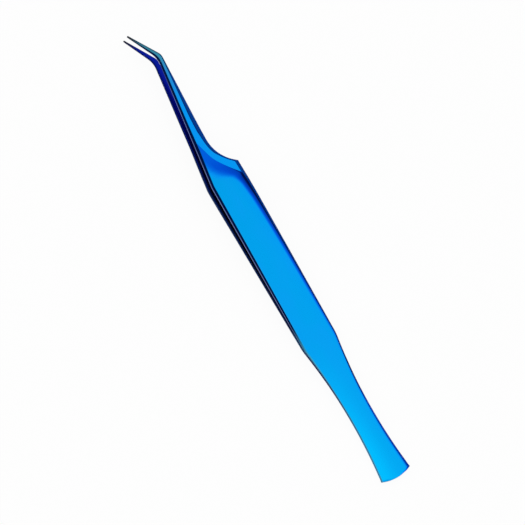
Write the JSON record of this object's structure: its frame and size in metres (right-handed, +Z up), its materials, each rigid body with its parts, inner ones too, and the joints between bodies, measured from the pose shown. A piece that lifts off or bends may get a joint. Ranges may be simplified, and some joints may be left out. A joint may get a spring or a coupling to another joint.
{
  "type": "precision tweezers",
  "caption": "Slim steel hand tweezers with points bent sideways: two thin spring arms, spot welded at the tail, that close at the points when squeezed.",
  "frame": {"origin": "bottom centre of the whole tool as it lies on its lower arm, points bent to -Y", "axes": "+X from the points to the welded tail, +Y across the width away from the bent points, +Z up from the lower arm to the upper arm"},
  "size_m": [0.1399, 0.0106, 0.0069],
  "materials": {
    "blue_coated_steel": "finely ground and polished steel with a thin blue interference coating",
    "weld_steel": "bare fused steel, hidden between the arms"
  },
  "bodies": {
    "welded_tail": {"upper_arm_tail": "blue_coated_steel", "lower_arm_tail": "blue_coated_steel", "spot_welds": "weld_steel"},
    "upper_arm": {"upper_arm_blade": "blue_coated_steel"},
    "lower_arm": {"lower_arm_blade": "blue_coated_steel"}
  },
  "joints": [
    {"name": "upper_arm_flex", "type": "hinge", "parent": "welded_tail", "child": "upper_arm", "pos_m": [0.03801, 0, 0.00148], "axis": [0, -1, 0], "range_deg": [0, 0.99], "stiffness_Nm_per_rad": 2},
    {"name": "lower_arm_flex", "type": "hinge", "parent": "welded_tail", "child": "lower_arm", "pos_m": [0.03801, 0, 0.00144], "axis": [0, 1, 0], "range_deg": [0, 0.99], "stiffness_Nm_per_rad": 2}
  ]
}
